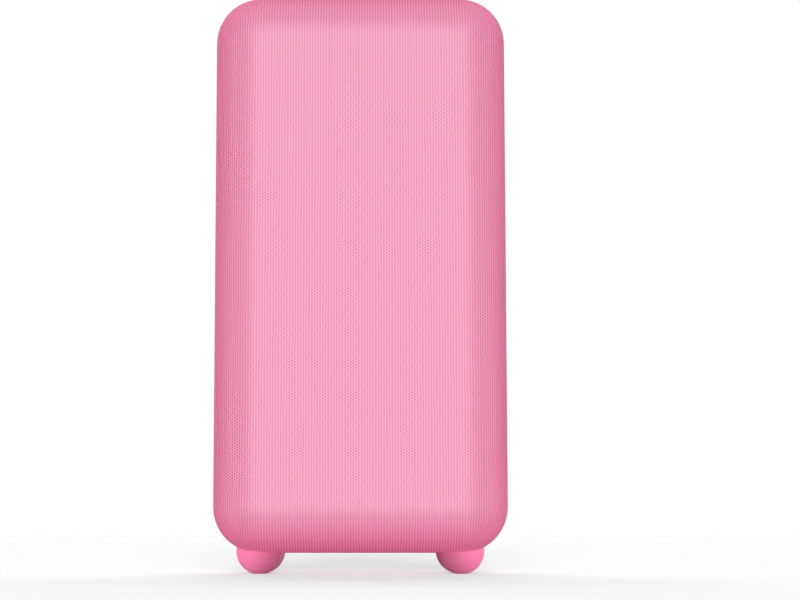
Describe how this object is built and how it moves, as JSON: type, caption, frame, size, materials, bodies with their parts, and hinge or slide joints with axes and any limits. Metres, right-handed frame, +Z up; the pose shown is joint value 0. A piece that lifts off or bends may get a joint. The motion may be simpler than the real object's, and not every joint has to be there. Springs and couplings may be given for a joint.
{
  "type": "portable speaker",
  "caption": "Upright portable speaker: a knit-wrapped rounded box on ball feet, with buttons, a capped charging port and a passive radiator on its rear panel.",
  "frame": {"origin": "on the floor, under the centre of the body", "axes": "+Z up, -Y to the front, +X to the right as seen from the front"},
  "size_m": [0.1, 0.06, 0.1986],
  "materials": {
    "knit_fabric": "pink polyester knit with a fine staggered grid of darker pin holes",
    "shell_plastic": "moulded black-grey plastic, light grain",
    "panel_plastic": "pink moulded plastic, fine satin grain",
    "foot_plastic": "pink satin plastic, smooth",
    "button_plastic": "pink satin plastic, slightly lighter than the panel",
    "flap_rubber": "pink silicone rubber, matte",
    "black_rubber": "black rubber, matte",
    "radiator_finish": "pink satin plate",
    "screw_steel": "zinc-plated steel",
    "black_metal": "black powder-coated pressed steel",
    "plated_steel": "nickel-plated steel",
    "ferrite": "dark sintered ferrite",
    "cone_paper": "coated paper, fine fibre grain",
    "coil_copper": "enamelled copper wire on a polyimide former",
    "spider_cloth": "resin-dipped woven cloth",
    "dome_silk": "coated silk",
    "battery_wrap": "blue shrink wrap",
    "strap_web": "black woven tape",
    "board": "green solder mask",
    "chip": "black moulded epoxy",
    "aluminium_can": "drawn aluminium can",
    "connector_nylon": "natural nylon",
    "clear_plastic": "milky clear plastic",
    "lead_jacket": "black PVC jacket",
    "ribbon_film": "white flat ribbon",
    "foam": "open-cell foam"
  },
  "bodies": {
    "cabinet": {"fabric_sleeve": "knit_fabric", "front_shell": "shell_plastic", "rear_shell": "shell_plastic", "shell_gasket": "black_rubber", "front_grille": "shell_plastic", "rear_panel": "panel_plastic", "shell_screws": "screw_steel", "panel_screws": "screw_steel", "foot_front_left": "foot_plastic", "foot_front_right": "foot_plastic", "foot_rear_left": "foot_plastic", "foot_rear_right": "foot_plastic", "foot_screws": "screw_steel", "woofer_basket": "black_metal", "woofer_gasket": "foam", "woofer_surround": "black_rubber", "woofer_spider": "spider_cloth", "woofer_top_plate": "plated_steel", "woofer_magnet": "ferrite", "woofer_yoke": "plated_steel", "woofer_screws": "screw_steel", "tweeter_plate": "shell_plastic", "tweeter_magnet": "ferrite", "tweeter_screws": "screw_steel", "radiator_frame": "shell_plastic", "radiator_surround": "black_rubber", "battery_cells": "battery_wrap", "battery_tray": "shell_plastic", "battery_strap": "strap_web", "tray_screws": "screw_steel", "main_board": "board", "amplifier_chip": "chip", "radio_module": "plated_steel", "board_capacitors": "aluminium_can", "board_inductors": "ferrite", "board_connectors": "connector_nylon", "board_screws": "screw_steel", "usb_socket": "plated_steel", "control_board": "board", "tactile_switches": "plated_steel", "status_led": "clear_plastic", "light_pipe": "clear_plastic", "keypad_membrane": "black_rubber", "hinge_pin": "screw_steel", "woofer_lead": "lead_jacket", "tweeter_lead": "lead_jacket", "battery_lead": "lead_jacket", "control_ribbon": "ribbon_film", "damping_foam": "foam"},
    "woofer_motion": {"woofer_cone": "cone_paper", "woofer_dust_cap": "cone_paper", "woofer_voice_coil": "coil_copper"},
    "tweeter_motion": {"tweeter_dome": "dome_silk"},
    "radiator_motion": {"radiator_plate": "radiator_finish"},
    "power_key": {"power_button": "button_plastic"},
    "pairing_key": {"pairing_button": "button_plastic"},
    "volume_down_key": {"volume_down_button": "button_plastic"},
    "play_key": {"play_button": "button_plastic"},
    "volume_up_key": {"volume_up_button": "button_plastic"},
    "flap": {"port_flap": "flap_rubber"}
  },
  "joints": [
    {"name": "woofer_cone_slide", "type": "slide", "parent": "cabinet", "child": "woofer_motion", "axis": [0, -1, 0], "range_m": [-0.0015, 0.0015], "stiffness_N_per_m": 1500, "deforming": ["woofer_surround", "woofer_spider"]},
    {"name": "tweeter_dome_slide", "type": "slide", "parent": "cabinet", "child": "tweeter_motion", "axis": [0, -1, 0], "range_m": [-0.0002, 0.0002], "stiffness_N_per_m": 1500},
    {"name": "radiator_slide", "type": "slide", "parent": "cabinet", "child": "radiator_motion", "axis": [0, 1, 0], "range_m": [-0.002, 0.002], "stiffness_N_per_m": 800, "deforming": ["radiator_surround"]},
    {"name": "power_press", "type": "slide", "parent": "cabinet", "child": "power_key", "axis": [0, -1, 0], "range_m": [0, 0.0006], "stiffness_N_per_m": 2500, "deforming": ["keypad_membrane"]},
    {"name": "pairing_press", "type": "slide", "parent": "cabinet", "child": "pairing_key", "axis": [0, -1, 0], "range_m": [0, 0.0006], "stiffness_N_per_m": 2500, "deforming": ["keypad_membrane"]},
    {"name": "volume_down_press", "type": "slide", "parent": "cabinet", "child": "volume_down_key", "axis": [0, -1, 0], "range_m": [0, 0.0006], "stiffness_N_per_m": 2500, "deforming": ["keypad_membrane"]},
    {"name": "play_press", "type": "slide", "parent": "cabinet", "child": "play_key", "axis": [0, -1, 0], "range_m": [0, 0.0006], "stiffness_N_per_m": 2500, "deforming": ["keypad_membrane"]},
    {"name": "volume_up_press", "type": "slide", "parent": "cabinet", "child": "volume_up_key", "axis": [0, -1, 0], "range_m": [0, 0.0006], "stiffness_N_per_m": 2500, "deforming": ["keypad_membrane"]},
    {"name": "flap_hinge", "type": "hinge", "parent": "cabinet", "child": "flap", "pos_m": [0, 0.02875, 0.1172], "axis": [1, 0, 0], "range_deg": [0, 90]}
  ]
}
